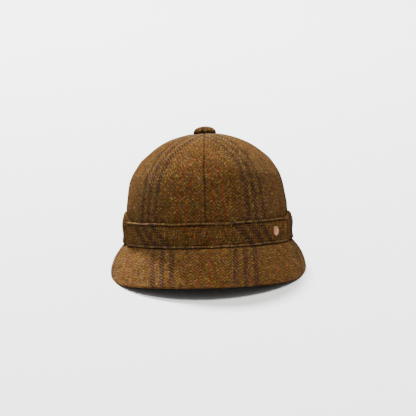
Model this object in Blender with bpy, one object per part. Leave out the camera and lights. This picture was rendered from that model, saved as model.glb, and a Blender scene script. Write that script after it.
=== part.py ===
"""A tweed jockey cap: four crown gores, a button, a front band, a peak and a turned-up ear flap.

Metres, +Z up. The peak points to -Y, and +X is the wearer's left.
Each piece is first laid out in the cap's own frame, where the rim lies at height 0.
It is then tipped back on to the table, as the cap rests on its peak and the back of its rim.
"""

import math

import bmesh
import bpy
import numpy as np
from mathutils import Matrix, Vector

# Crown
CROWN_HEIGHT = 0.1134
CROWN_HALF_WIDTH = 0.0849
CROWN_FRONT = 0.1070
CROWN_BACK = 0.0970
CROWN_SHIFT = 0.0050
CLOTH_WALL = 0.0025
SEAM_GAP = 0.0003
TOP_HOLE_SHARE = 0.965
GORE_COLUMNS = 12
GORE_RINGS = 18
TURN_STEP = 0.2
ALONG_STEP = 0.0004
CROWN_RIM_FRONT = 0.0003
CROWN_RIM_BACK = 0.0021

# Button on the top
BUTTON_RADIUS = 0.0115
BUTTON_HEIGHT = 0.0070
BUTTON_SIDES = 32

# Front band
BAND_HEIGHT = 0.0250
BAND_THICKNESS = 0.0022
BAND_END = 70.0
BAND_CORNER = 0.0040
BAND_SWELL = 0.0002
BAND_END_STEPS = (0.0, 0.35, 0.9, 1.6, 2.5)
BAND_EVEN_FROM = 3.8
BAND_COLUMNS = 46

# Ear flap, folded up outside the rim
FLAP_HEIGHT = 0.0310
FLAP_SLANT = 0.0020
FLAP_THICKNESS = 0.0036
FLAP_TUCK_THICKNESS = 0.0015
FLAP_TUCK_DROP = 0.0085
FLAP_START = 63.0
FLAP_LIP = 0.0018
FLAP_LEAN = 0.0014
FLAP_FOLD = 0.0020
FLAP_COLUMNS = 58

# Peak
PEAK_LENGTH = 0.0477
PEAK_THICKNESS = 0.0028
PEAK_SEAM_OUT = 0.0027
PEAK_ROOT_EASE = 14.0
PEAK_END = 92.0
PEAK_BEND = 7.0
PEAK_COLUMNS = 60

# Stud on the band
STUD_RADIUS = 0.00525
STUD_THICKNESS = 0.0015
STUD_AT = 52.5
STUD_HEIGHT = 0.0125
STUD_SIDES = 32

# Gaps and edges
FREE_GAP = 0.0003
EDGE_ROUND = 0.0006

# How the cap rests
PITCH = 12.4
REST_BACK = 0.0920
REST_REACH = 0.0250
FRAME_SHIFT = 0.01469

# The crown's outline from the rim up, as shares of its height, half-width, front and back.
CROWN_COLUMNS = ("height", "side", "front", "back")
CROWN_PROFILE = (
    (0.000, 0.992, 0.985, 0.985),
    (0.176, 1.000, 1.000, 1.000),
    (0.304, 0.996, 0.992, 0.996),
    (0.415, 0.976, 0.970, 0.980),
    (0.507, 0.954, 0.942, 0.958),
    (0.599, 0.919, 0.903, 0.925),
    (0.654, 0.885, 0.868, 0.893),
    (0.691, 0.853, 0.838, 0.864),
    (0.746, 0.800, 0.788, 0.812),
    (0.783, 0.752, 0.745, 0.768),
    (0.839, 0.666, 0.668, 0.690),
    (0.895, 0.547, 0.556, 0.572),
    (0.930, 0.440, 0.450, 0.462),
    (0.965, 0.294, 0.304, 0.312),
    (0.982, 0.195, 0.206, 0.212),
    (1.000, 0.000, 0.000, 0.000),
)

# The peak round the rim: degrees from the front, length down the slope as a share of its
# longest, slope in degrees, and how far outside the crown its top starts, as a share of the front's.
PEAK_COLUMN_NAMES = ("turn", "length", "slope", "start")
PEAK_TABLE = (
    (0.0, 1.000, 48.5, 1.00),
    (20.0, 0.990, 49.5, 1.00),
    (40.0, 0.969, 51.0, 1.00),
    (52.0, 0.916, 53.0, 1.11),
    (62.0, 0.805, 54.5, 1.41),
    (70.0, 0.675, 54.5, 1.55),
    (77.0, 0.528, 53.5, 1.59),
    (84.0, 0.335, 51.5, 1.74),
    (92.0, 0.073, 48.0, 1.85),
)

# Where the peak's upper face is cut into rings, as shares of its length.
PEAK_STEPS = (0.07, 0.22, 0.42, 0.62, 0.81, 0.94)

# The button's half section, as shares of its radius and height.
BUTTON_PROFILE = (
    (0.45, 0.010),
    (0.93, -0.065),
    (0.990, 0.080),
    (1.000, 0.260),
    (0.955, 0.470),
    (0.840, 0.680),
    (0.640, 0.860),
    (0.360, 0.970),
)

# The stud's half section, as shares of its radius and thickness.
STUD_PROFILE = (
    (0.960, 0.000),
    (1.000, 0.180),
    (0.985, 0.520),
    (0.900, 0.760),
    (0.600, 0.930),
)


def column(names, rows, name):
    return np.array([row[names.index(name)] for row in rows], float)


def curve_through(xs, ys, at):
    """A smooth curve through the rows that never swings past them."""
    steps = np.diff(xs)
    slopes = np.diff(ys) / steps
    tangents = np.zeros(len(xs))
    for i in range(1, len(xs) - 1):
        if slopes[i - 1] * slopes[i] > 0:
            tangents[i] = 2 * slopes[i - 1] * slopes[i] / (slopes[i - 1] + slopes[i])
    tangents[0] = slopes[0]
    tangents[-1] = slopes[-1]
    i = int(np.clip(np.searchsorted(xs, at) - 1, 0, len(xs) - 2))
    t = (at - xs[i]) / steps[i]
    return (
        (1 + 2 * t) * (1 - t) ** 2 * ys[i]
        + t * (1 - t) ** 2 * steps[i] * tangents[i]
        + t * t * (3 - 2 * t) * ys[i + 1]
        + t * t * (t - 1) * steps[i] * tangents[i + 1]
    )


def meridian():
    """How far each row of the crown's outline is from the rim, measured along the cloth."""
    side = column(CROWN_COLUMNS, CROWN_PROFILE, "side") * CROWN_HALF_WIDTH
    height = column(CROWN_COLUMNS, CROWN_PROFILE, "height") * CROWN_HEIGHT
    return np.concatenate([[0.0], np.cumsum(np.hypot(np.diff(side), np.diff(height)))])


MERIDIAN = meridian()
CROWN_LENGTH = MERIDIAN[-1]


def crown_share(name, along):
    return curve_through(MERIDIAN, column(CROWN_COLUMNS, CROWN_PROFILE, name), along)


ALONG_ROWS = np.linspace(0, CROWN_LENGTH, 400)
HEIGHT_ROWS = np.array([crown_share("height", row) * CROWN_HEIGHT for row in ALONG_ROWS])


def crown_along(height):
    """How far along the cloth a given height is."""
    return float(np.interp(height, HEIGHT_ROWS, ALONG_ROWS))


def crown_point(turn, along):
    """A point of the crown's outer face. The turn is in degrees from the front towards +X."""
    angle = math.radians(turn)
    depth = CROWN_FRONT * crown_share("front", along)
    if math.cos(angle) < 0:
        depth = CROWN_BACK * crown_share("back", along)
    side = CROWN_HALF_WIDTH * crown_share("side", along)
    height = CROWN_HEIGHT * crown_share("height", along)
    return Vector((side * math.sin(angle), CROWN_SHIFT - depth * math.cos(angle), height))


def crown_round(turn, along):
    """The level direction along the crown, towards a larger turn."""
    ahead = crown_point(turn + TURN_STEP, along) - crown_point(turn - TURN_STEP, along)
    return ahead.normalized()


def crown_normal(turn, along):
    above = crown_point(turn, min(along + ALONG_STEP, CROWN_LENGTH))
    up = above - crown_point(turn, along - ALONG_STEP)
    return crown_round(turn, along).cross(up).normalized()


def rim_height(turn):
    """The crown's rim stands on the flap's fold at the sides and back, and on the peak in front."""
    turned = abs((turn + 180) % 360 - 180)
    share = min(max((turned - FLAP_START + 6) / 4, 0), 1)
    return CROWN_RIM_FRONT + share * (CROWN_RIM_BACK - CROWN_RIM_FRONT)


def level_point(turn, outward, height):
    """A point this far outside the crown's face, measured level, at this height."""
    along = crown_along(max(height, 0.0))
    base = crown_point(turn, along)
    around = crown_round(turn, along)
    out = Vector((around.y, -around.x, 0)).normalized()
    return Vector((base.x, base.y, height)) + out * outward


def grid_solid(name, sections, colour, roughness, metallic=0.0):
    """A solid from closed sections of equal length, capped at both ends."""
    mesh = bmesh.new()
    rings = [[mesh.verts.new(point) for point in section] for section in sections]
    count = len(rings[0])
    for here, there in zip(rings, rings[1:], strict=False):
        for i in range(count):
            j = (i + 1) % count
            mesh.faces.new((here[i], here[j], there[j], there[i]))
    mesh.faces.new(list(reversed(rings[0])))
    mesh.faces.new(rings[-1])
    return finish(name, mesh, colour, roughness, metallic)


def on_table(point):
    """Tips the cap back on to the table. The cloth under the back of the rim is pressed flat."""
    tip = math.radians(PITCH)
    turned = Matrix.Rotation(-tip, 3, "X") @ point
    turned.z += REST_BACK * math.sin(tip)
    under = Matrix.Rotation(-tip, 3, "X") @ Vector((point.x, point.y, 0))
    under.z += REST_BACK * math.sin(tip)
    share = min(max(1 - point.z / REST_REACH, 0), 1)
    if point.y > 0 and under.z < 0:
        turned.z -= under.z * share**2
    turned.y += FRAME_SHIFT
    return turned


def finish(name, mesh, colour, roughness, metallic):
    for vertex in mesh.verts:
        vertex.co = on_table(vertex.co)
    bmesh.ops.recalc_face_normals(mesh, faces=mesh.faces)
    for face in mesh.faces:
        face.smooth = True
    data = bpy.data.meshes.new(name)
    mesh.to_mesh(data)
    mesh.free()
    made = bpy.data.objects.new(name, data)
    bpy.context.scene.collection.objects.link(made)
    data.materials.append(material(name, colour, roughness, metallic))
    return made


def material(name, colour, roughness, metallic):
    made = bpy.data.materials.new(name)
    made.use_nodes = True
    shader = made.node_tree.nodes["Principled BSDF"]
    shader.inputs["Base Color"].default_value = (*colour, 1.0)
    shader.inputs["Roughness"].default_value = roughness
    shader.inputs["Metallic"].default_value = metallic
    return made


TWEED = (0.150, 0.075, 0.022)
TWEED_LIGHT = (0.180, 0.093, 0.030)
ROSE_BRASS = (0.780, 0.460, 0.340)


def make_gore(name, start, end):
    """One quarter of the crown, from the rim to just short of the top."""
    mesh = bmesh.new()
    faces = []
    for inward in (0.0, CLOTH_WALL):
        grid = []
        for i in range(GORE_COLUMNS + 1):
            turn = start + (end - start) * i / GORE_COLUMNS
            low = crown_along(rim_height(turn))
            high = CROWN_LENGTH * TOP_HOLE_SHARE
            line = []
            for j in range(GORE_RINGS + 1):
                along = low + (high - low) * j / GORE_RINGS
                point = crown_point(turn, along) - crown_normal(turn, along) * inward
                if i == 0:
                    point += crown_round(turn, along) * SEAM_GAP / 2
                if i == GORE_COLUMNS:
                    point -= crown_round(turn, along) * SEAM_GAP / 2
                if j == 0:
                    point.z = rim_height(turn)
                line.append(mesh.verts.new(point))
            grid.append(line)
        faces.append(grid)
    outer, inner = faces
    for i in range(GORE_COLUMNS):
        for j in range(GORE_RINGS):
            mesh.faces.new((outer[i][j], outer[i + 1][j], outer[i + 1][j + 1], outer[i][j + 1]))
            mesh.faces.new((inner[i][j], inner[i][j + 1], inner[i + 1][j + 1], inner[i + 1][j]))
        mesh.faces.new((outer[i][0], inner[i][0], inner[i + 1][0], outer[i + 1][0]))
        mesh.faces.new((outer[i][-1], outer[i + 1][-1], inner[i + 1][-1], inner[i][-1]))
    for j in range(GORE_RINGS):
        mesh.faces.new((outer[0][j], outer[0][j + 1], inner[0][j + 1], inner[0][j]))
        mesh.faces.new((outer[-1][j], inner[-1][j], inner[-1][j + 1], outer[-1][j + 1]))
    return finish(name, mesh, TWEED, 0.9, 0.0)


def lathe(name, profile, radius, height, sides, place, colour, roughness, metallic=0.0):
    """A round piece turned about its own axis, which place then sets in the cap's frame."""
    mesh = bmesh.new()
    rings = []
    for out, up in profile:
        ring = []
        for i in range(sides):
            angle = math.tau * i / sides
            spot = Vector((out * radius * math.cos(angle), out * radius * math.sin(angle), up * height))
            ring.append(mesh.verts.new(place @ spot))
        rings.append(ring)
    for here, there in zip(rings, rings[1:], strict=False):
        for i in range(sides):
            j = (i + 1) % sides
            mesh.faces.new((here[i], here[j], there[j], there[i]))
    bottom = mesh.verts.new(place @ Vector((0, 0, profile[0][1] * height)))
    top = mesh.verts.new(place @ Vector((0, 0, height)))
    for i in range(sides):
        j = (i + 1) % sides
        mesh.faces.new((bottom, rings[0][j], rings[0][i]))
        mesh.faces.new((top, rings[-1][i], rings[-1][j]))
    return finish(name, mesh, colour, roughness, metallic)


def make_button():
    """The covered button that hides where the four gores meet."""
    place = Matrix.Translation((0, CROWN_SHIFT, CROWN_HEIGHT + FREE_GAP))
    return lathe("crown_button", BUTTON_PROFILE, BUTTON_RADIUS, BUTTON_HEIGHT, BUTTON_SIDES,
                 place, TWEED, 0.9)


def tuck_share(turn, start, end):
    share = min(max((abs(turn) - start) / (end - start), 0), 1)
    return share * share * (3 - 2 * share)


def band_base(turn):
    """The band lies on the crown, and steps out over the flap's tucked ends."""
    step = FLAP_TUCK_THICKNESS + FREE_GAP
    return FREE_GAP + step * tuck_share(turn, FLAP_START - 5.5, FLAP_START - 0.8)


def band_turns():
    """The band's columns, closer together at its rounded ends."""
    inner = BAND_END - BAND_EVEN_FROM
    left = [-BAND_END + step for step in BAND_END_STEPS]
    middle = [-inner + 2 * inner * i / BAND_COLUMNS for i in range(BAND_COLUMNS + 1)]
    return left + middle + [-turn for turn in reversed(left)]


def make_band():
    """The folded strip across the front, with its upper corners rounded."""
    per_degree = math.hypot(CROWN_HALF_WIDTH * math.cos(math.radians(BAND_END)),
                            CROWN_FRONT * math.sin(math.radians(BAND_END))) * math.radians(1)
    sections = []
    for turn in band_turns():
        base = band_base(turn)
        face = base + BAND_THICKNESS
        from_end = (BAND_END - abs(turn)) * per_degree
        short = max(BAND_CORNER - from_end, 0)
        top = BAND_HEIGHT - BAND_CORNER + math.sqrt(max(BAND_CORNER**2 - short**2, 0))
        low = CROWN_RIM_FRONT
        shape = (
            (base, low + EDGE_ROUND),
            (base + EDGE_ROUND, low),
            (face - EDGE_ROUND, low),
            (face, low + EDGE_ROUND),
            (face + BAND_SWELL, top * 0.5),
            (face, top - EDGE_ROUND),
            (face - EDGE_ROUND, top),
            (base + EDGE_ROUND, top),
            (base, top - EDGE_ROUND),
            (base, top * 0.75),
            (base, top * 0.48),
            (base, top * 0.22),
        )
        sections.append([level_point(turn, out, height) for out, height in shape])
    return grid_solid("front_band", sections, TWEED, 0.9)


def flap_turned(turn):
    """The turn measured from the nearer end of the front, for both sides alike."""
    return min(turn, 360 - turn)


def make_flap():
    """The doubled strip that is sewn to the rim and folded up round the sides and back."""
    sections = []
    span = 360 - 2 * FLAP_START
    for i in range(FLAP_COLUMNS + 1):
        turn = FLAP_START + span * i / FLAP_COLUMNS
        turned = flap_turned(turn)
        thin = 1 - tuck_share(turned, BAND_END + 3, BAND_END + 9)
        rise = tuck_share(turned, FLAP_START, BAND_END + 10)
        thick = FLAP_THICKNESS + thin * (FLAP_TUCK_THICKNESS - FLAP_THICKNESS)
        slant = FLAP_SLANT * math.sin(math.radians(turn))
        top = FLAP_HEIGHT - slant - FLAP_TUCK_DROP * (1 - rise)
        lean = FLAP_LEAN * (1 - thin)
        fold = FLAP_FOLD * (1 - thin)
        base = FREE_GAP
        face = base + thick
        shape = (
            (-CLOTH_WALL, FLAP_LIP * 0.4),
            (-CLOTH_WALL + EDGE_ROUND, 0.0),
            (face + fold - thick * 0.45, 0.0),
            (face + fold, top * 0.07),
            (face + fold * 0.25, top * 0.24),
            (face + lean * 0.7, top * 0.46),
            (face + lean, top * 0.62),
            (face + lean * 0.5, top * 0.84),
            (face - thick * 0.22, top - thick * 0.25),
            (base + thick * 0.42, top),
            (base + thick * 0.10, top - thick * 0.25),
            (base + lean * 0.3, top * 0.84),
            (base + lean * 0.8, top * 0.62),
            (base + lean * 0.5, top * 0.46),
            (base, top * 0.24),
            (base, FLAP_LIP),
            (-CLOTH_WALL + EDGE_ROUND, FLAP_LIP),
        )
        sections.append([level_point(turn, out, height) for out, height in shape])
    return grid_solid("ear_flap", sections, TWEED_LIGHT, 0.9)


def peak_value(name, turn):
    turns = column(PEAK_COLUMN_NAMES, PEAK_TABLE, "turn")
    return float(curve_through(turns, column(PEAK_COLUMN_NAMES, PEAK_TABLE, name), abs(turn)))


def make_peak():
    """The stiffened, cloth-covered peak, sewn under the front half of the rim."""
    sections = []
    for i in range(PEAK_COLUMNS + 1):
        turn = -PEAK_END + 2 * PEAK_END * i / PEAK_COLUMNS
        length = PEAK_LENGTH * peak_value("length", turn)
        slope = peak_value("slope", turn)
        start = PEAK_SEAM_OUT * peak_value("start", turn)
        inner = FREE_GAP - CLOTH_WALL
        bottom = -FREE_GAP - PEAK_THICKNESS
        upper = [(inner, -FREE_GAP), (start - PEAK_THICKNESS * 0.43, -FREE_GAP)]
        lower = [(inner, bottom), (start - PEAK_THICKNESS * 0.79, bottom)]
        out, height, done = start - PEAK_THICKNESS * 0.14, -FREE_GAP * 1.6, 0.0
        for step in (*PEAK_STEPS, 1.0):
            lean = slope + PEAK_BEND * (step - 0.5) - (PEAK_ROOT_EASE if done == 0 else 0)
            lean = math.radians(lean)
            out += (step - done) * length * math.cos(lean)
            height -= (step - done) * length * math.sin(lean)
            done = step
            upper.append((out, height))
            lower.append((out - PEAK_THICKNESS * math.sin(lean),
                          height - PEAK_THICKNESS * math.cos(lean)))
        edge = math.radians(slope + PEAK_BEND * 0.5)
        half, proud = PEAK_THICKNESS * 0.5, PEAK_THICKNESS * 0.14
        tip = (out + proud * math.cos(edge) - half * math.sin(edge),
               height - proud * math.sin(edge) - half * math.cos(edge))
        shape = upper + [tip] + list(reversed(lower))
        sections.append([peak_point(turn, out, height) for out, height in shape])
    made = grid_solid("peak", sections, TWEED_LIGHT, 0.85)
    for vertex in made.data.vertices:
        vertex.co.z = max(vertex.co.z, 0.0)
    return made


def peak_point(turn, outward, height):
    base = crown_point(turn, 0.0)
    around = crown_round(turn, 0.0)
    out = Vector((around.y, -around.x, 0)).normalized()
    return Vector((base.x, base.y, height)) + out * outward


def make_stud():
    """The plain metal stud near the band's end on the wearer's left."""
    face = band_base(STUD_AT) + BAND_THICKNESS + BAND_SWELL + FREE_GAP
    centre = level_point(STUD_AT, face, STUD_HEIGHT)
    outward = (level_point(STUD_AT, face + STUD_RADIUS, STUD_HEIGHT) - centre).normalized()
    turned = outward.to_track_quat("Z", "Y").to_matrix().to_4x4()
    place = Matrix.Translation(centre) @ turned
    return lathe("band_stud", STUD_PROFILE, STUD_RADIUS, STUD_THICKNESS, STUD_SIDES,
                 place, ROSE_BRASS, 0.35, 1.0)


def clear_scene():
    for old in list(bpy.data.objects):
        bpy.data.objects.remove(old, do_unlink=True)


def main():
    clear_scene()
    make_gore("gore_front_left", 0.0, 90.0)
    make_gore("gore_back_left", 90.0, 180.0)
    make_gore("gore_back_right", 180.0, 270.0)
    make_gore("gore_front_right", 270.0, 360.0)
    make_button()
    make_band()
    make_flap()
    make_peak()
    make_stud()


main()
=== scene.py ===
"""A tweed jockey cap standing on a pale table, seen from the front.

The cap's own frame has the rim level at height 0, the peak towards -Y and the wearer's left at +X.
Every piece is laid out there and then tipped back on to the table, as the cap rests by itself.
"""

import math

import bmesh
import bpy
import numpy as np
from mathutils import Matrix, Vector


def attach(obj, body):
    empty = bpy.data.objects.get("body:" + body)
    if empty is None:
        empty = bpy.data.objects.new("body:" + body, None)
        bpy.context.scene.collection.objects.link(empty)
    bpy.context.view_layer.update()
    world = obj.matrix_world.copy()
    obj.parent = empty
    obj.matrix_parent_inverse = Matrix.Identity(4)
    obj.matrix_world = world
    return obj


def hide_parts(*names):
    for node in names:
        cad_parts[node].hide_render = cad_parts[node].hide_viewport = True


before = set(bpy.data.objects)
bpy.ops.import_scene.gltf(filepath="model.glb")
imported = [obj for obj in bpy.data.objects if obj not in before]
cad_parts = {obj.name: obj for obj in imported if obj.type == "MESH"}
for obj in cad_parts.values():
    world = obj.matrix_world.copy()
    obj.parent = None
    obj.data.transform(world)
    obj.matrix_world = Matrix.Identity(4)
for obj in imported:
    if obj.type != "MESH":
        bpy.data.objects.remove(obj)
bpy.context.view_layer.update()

# Crown. Four gores of wool tweed, each cut like a pointed petal and joined to the next by a plain
# seam that is pressed open inside. They meet under the button, and the rim's hem is turned in.

CROWN_HEIGHT = 0.1134
CROWN_HALF_WIDTH = 0.0849
CROWN_FRONT = 0.1070
CROWN_BACK = 0.0970
CROWN_SHIFT = 0.0050
CLOTH_WALL = 0.0024
CROWN_TOP_SHARE = 0.992
PITCH = math.radians(12.4)
REST_BACK = 0.0920
REST_REACH = 0.0250
FRAME_SHIFT = 0.01469
FREE_GAP = 0.0003
CLOSE = 1e-6
WELD = 2e-6

# The flap starts this many degrees from the front, and the gores' edge rises over its lip there.
FLAP_FROM = 63.0
LIP_RISE = 0.0018
LIP_AHEAD = 6.0
LIP_DEGREES = 4.0

# How finely the outline is drawn and eased, and the steps that directions are measured over.
OUTLINE_POINTS = 601
EASING_REACH = 16
EASING_SPREAD = 2.2
TURN_STEP = 0.2
ALONG_STEP = 0.0005
UNEVEN_WAVES = 7

# The crown's outline from the rim up: height, side, front and back, as shares of the full sizes.
CROWN_OUTLINE = np.array((
    (0.000, 0.992, 0.985, 0.985),
    (0.176, 1.000, 1.000, 1.000),
    (0.304, 0.996, 0.992, 0.996),
    (0.415, 0.976, 0.970, 0.980),
    (0.507, 0.954, 0.942, 0.958),
    (0.599, 0.919, 0.903, 0.925),
    (0.654, 0.885, 0.868, 0.893),
    (0.691, 0.853, 0.838, 0.864),
    (0.746, 0.800, 0.788, 0.812),
    (0.783, 0.752, 0.745, 0.768),
    (0.839, 0.666, 0.668, 0.690),
    (0.898, 0.547, 0.556, 0.572),
    (0.936, 0.440, 0.450, 0.462),
    (0.973, 0.294, 0.304, 0.312),
    (0.989, 0.195, 0.206, 0.212),
    (1.000, 0.000, 0.000, 0.000),
))


def curve_through(xs, ys, at):
    """A smooth curve through the rows that never swings past them."""
    steps = np.diff(xs)
    slopes = np.diff(ys) / steps
    product = slopes[:-1] * slopes[1:]
    total = np.where(product > 0, slopes[:-1] + slopes[1:], 1)
    inner = np.where(product > 0, 2 * product / total, 0)
    tangents = np.concatenate([slopes[:1], inner, slopes[-1:]])
    i = np.clip(np.searchsorted(xs, at) - 1, 0, len(xs) - 2)
    t = (at - xs[i]) / steps[i]
    return ((1 + 2 * t) * (1 - t) ** 2 * ys[i] + t * (1 - t) ** 2 * steps[i] * tangents[i]
            + t * t * (3 - 2 * t) * ys[i + 1] + t * t * (t - 1) * steps[i] * tangents[i + 1])


def smoothed_outline():
    """The outline along the cloth, eased so that no row of it shows as a ring."""
    sizes = (CROWN_HEIGHT, CROWN_HALF_WIDTH, CROWN_FRONT, CROWN_BACK)
    height, side = (CROWN_OUTLINE[:, i] * sizes[i] for i in (0, 1))
    rows = np.concatenate([[0.0], np.cumsum(np.hypot(np.diff(side), np.diff(height)))])
    fine = np.linspace(0, rows[-1], OUTLINE_POINTS)
    spread = np.linspace(-EASING_SPREAD, EASING_SPREAD, 2 * EASING_REACH + 1)
    weights = np.exp(-spread ** 2)
    weights /= weights.sum()
    eased = []
    for i, size in enumerate(sizes):
        # Past the top the heights come down again, and the other sizes run on through zero.
        line = curve_through(rows, CROWN_OUTLINE[:, i] * size, fine)
        before = 2 * line[0] - line[EASING_REACH:0:-1]
        after = line[-2:-EASING_REACH - 2:-1]
        if i > 0:
            after = 2 * line[-1] - after
        eased.append(np.convolve(np.concatenate([before, line, after]), weights, "valid"))
    return fine, eased


ALONG, (HEIGHTS, SIDES, FRONTS, BACKS) = smoothed_outline()
CROWN_LENGTH = ALONG[-1]


def crown_point(turn, along):
    """Points of the crown's outer face. A turn is in degrees from the front towards +X."""
    turn, along = np.broadcast_arrays(turn, along)
    angle = np.radians(turn)
    side = np.interp(along, ALONG, SIDES)
    front, back = np.interp(along, ALONG, FRONTS), np.interp(along, ALONG, BACKS)
    depth = np.where(np.cos(angle) > 0, front, back)
    return np.stack([side * np.sin(angle), CROWN_SHIFT - depth * np.cos(angle),
                     np.interp(along, ALONG, HEIGHTS)], -1)


def unit(vectors):
    return vectors / np.linalg.norm(vectors, axis=-1, keepdims=True)


def crown_round(turn, along):
    """Which way the crown's face runs round it."""
    return unit(crown_point(turn + TURN_STEP, along) - crown_point(turn - TURN_STEP, along))


def crown_normal(turn, along):
    above = crown_point(turn, np.minimum(along + ALONG_STEP, CROWN_LENGTH))
    rise = above - crown_point(turn, along - ALONG_STEP)
    return unit(np.cross(crown_round(turn, along), rise))


def level_point(turn, out, height):
    """Points this far outside the crown's face, measured level, at this height."""
    along = np.interp(np.maximum(height, 0.0), HEIGHTS, ALONG)
    base = crown_point(turn, along)
    around = crown_round(turn, along)
    outward = unit(np.stack([around[..., 1], -around[..., 0], np.zeros_like(around[..., 0])], -1))
    point = base + outward * np.asarray(out)[..., None]
    point[..., 2] = height
    return point


def on_table(points):
    """Tips the cap back on to the table, and presses the cloth under the back of its rim flat."""
    x, y, z = points[..., 0], points[..., 1], points[..., 2]
    lift = REST_BACK * math.sin(PITCH)
    turned_y = y * math.cos(PITCH) + z * math.sin(PITCH) + FRAME_SHIFT
    turned_z = -y * math.sin(PITCH) + z * math.cos(PITCH) + lift
    under = -y * math.sin(PITCH) + lift
    share = np.clip(1 - z / REST_REACH, 0, 1)
    pressed = np.where(y > 0, np.minimum(under, 0), 0) * share ** 2
    return np.stack([x, turned_y, turned_z - pressed], -1)


def unevenness(points, size, seed, rise=1.0):
    """Soft swellings of cloth about this many metres across, mostly within the rise."""
    draw = np.random.default_rng(seed)
    total = np.zeros(points.shape[:-1])
    for _ in range(UNEVEN_WAVES):
        way = unit(draw.normal(size=3)) * math.tau / (size * draw.uniform(0.8, 1.7))
        total += np.sin(points @ way + draw.uniform(0, math.tau))
    return total / (UNEVEN_WAVES / 2) * rise


def pushed_out(points, amount):
    """The points moved level, straight away from the cap's upright middle line."""
    return points + unit(points * np.array((1, 1, 0))) * amount[:, None]


def smooth_share(value, start, end):
    """Rises smoothly from 0 at the start to 1 at the end."""
    t = np.clip((value - start) / (end - start), 0, 1)
    return t * t * (3 - 2 * t)


def mound(value, middle, width):
    """A soft mound that is 1 high at its middle."""
    return np.exp(-((value - middle) / width) ** 2)


def rim_height(turn):
    """The height of the gores' lower edge, which stands over the flap's lip."""
    turned = np.abs((turn + 180) % 360 - 180)
    return FREE_GAP + LIP_RISE * np.clip((turned - FLAP_FROM + LIP_AHEAD) / LIP_DEGREES, 0, 1)


ARC_TURNS = np.linspace(-180, 180, 1441)
ARC_STEPS = np.linalg.norm(np.diff(crown_point(ARC_TURNS, 0 * ARC_TURNS), axis=0), axis=1)
ARC_LENGTHS = np.concatenate([[0.0], np.cumsum(ARC_STEPS)])
ARC_LENGTHS -= np.interp(0.0, ARC_TURNS, ARC_LENGTHS)


def rim_length(turn):
    """How far round the rim a turn is from the front, measured along the cloth."""
    return np.interp(turn, ARC_TURNS, ARC_LENGTHS)


def finish_piece(mesh, name, points, cloth, shade, material):
    """Sets a bmesh's points in place, closes it, and gives it its cloth lines and its shade."""
    lines = mesh.verts.layers.float_vector.new("lines")
    depth = mesh.verts.layers.float.new("shade")
    mesh.verts.ensure_lookup_table()
    for vertex, point, line, dark in zip(mesh.verts, points, cloth, shade, strict=True):
        vertex.co = point
        vertex[lines] = (*line, 0.0)
        vertex[depth] = dark
    bmesh.ops.remove_doubles(mesh, verts=mesh.verts, dist=WELD)
    open_edges = [edge for edge in mesh.edges if edge.is_boundary]
    bmesh.ops.holes_fill(mesh, edges=open_edges, sides=0)
    bmesh.ops.recalc_face_normals(mesh, faces=mesh.faces)
    unwrapped = mesh.loops.layers.uv.new("cloth")
    for face in mesh.faces:
        face.smooth = True
        for loop in face.loops:
            loop[unwrapped].uv = loop.vert[lines].xy
    data = bpy.data.meshes.new(name)
    mesh.to_mesh(data)
    mesh.free()
    data.materials.append(material)
    piece = bpy.data.objects.new(name, data)
    bpy.context.scene.collection.objects.link(piece)
    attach(piece, "root")
    return piece


class Wiring:
    """Lays out a group's nodes, and lets one sum of Math nodes read like arithmetic."""

    def __init__(self, tree):
        self.tree = tree

    def node(self, kind, **settings):
        made = self.tree.nodes.new(kind)
        for name, value in settings.items():
            setattr(made, name, value)
        return made

    def join(self, value, socket):
        if isinstance(value, bpy.types.NodeSocket):
            self.tree.links.new(value, socket)
        else:
            socket.default_value = value

    def math(self, operation, *values):
        made = self.node("ShaderNodeMath", operation=operation)
        for value, socket in zip(values, made.inputs, strict=False):
            self.join(value, socket)
        return made.outputs[0]

    def mix(self, share, first, second, blend="MIX"):
        made = self.node("ShaderNodeMix", data_type="RGBA", blend_type=blend)
        self.join(share, made.inputs["Factor"])
        self.join(first, made.inputs["A"])
        self.join(second, made.inputs["B"])
        return made.outputs["Result"]

    def pick(self, share, first, second):
        made = self.node("ShaderNodeMix", data_type="FLOAT")
        for given, name in ((share, "Factor"), (first, "A"), (second, "B")):
            self.join(given, made.inputs[name])
        return made.outputs["Result"]

    def span(self, value, low, high, start=0.0, end=1.0, kind="SMOOTHSTEP"):
        made = self.node("ShaderNodeMapRange", interpolation_type=kind)
        for given, name in ((value, "Value"), (low, "From Min"), (high, "From Max"),
                            (start, "To Min"), (end, "To Max")):
            self.join(given, made.inputs[name])
        return made.outputs["Result"]

    def vector(self, x, y, z=0.0):
        made = self.node("ShaderNodeCombineXYZ")
        for value, socket in zip((x, y, z), made.inputs, strict=True):
            self.join(value, socket)
        return made.outputs[0]

    def noise(self, vector, scale, detail=2.0):
        made = self.node("ShaderNodeTexNoise")
        self.join(vector, made.inputs["Vector"])
        made.inputs["Scale"].default_value = scale
        made.inputs["Detail"].default_value = detail
        return made.outputs["Fac"]

    def wander(self, vector, scale, reach):
        """A slow noise that swings about zero."""
        about_zero = self.math("SUBTRACT", self.noise(vector, scale, 1.0), 0.5)
        return self.math("MULTIPLY", about_zero, reach)

    def swing(self, vector, scale, low, high):
        """A finer noise that swings between two values."""
        return self.span(self.noise(vector, scale, 3.0), 0.30, 0.70, low, high, "LINEAR")

    def draw(self, x, y, z):
        """A number from 0 to 1, drawn anew for each set of three whole numbers."""
        made = self.node("ShaderNodeTexWhiteNoise", noise_dimensions="3D")
        self.join(self.vector(x, y, z), made.inputs["Vector"])
        return made.outputs["Value"]

    def ramp(self, value, stops, kind="LINEAR"):
        made = self.node("ShaderNodeValToRGB")
        made.color_ramp.interpolation = kind
        while len(made.color_ramp.elements) < len(stops):
            made.color_ramp.elements.new(0.5)
        for element, (place, colour) in zip(made.color_ramp.elements, stops, strict=True):
            element.position = place
            element.color = (*colour, 1.0)
        self.join(value, made.inputs["Fac"])
        return made.outputs["Color"]


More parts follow.
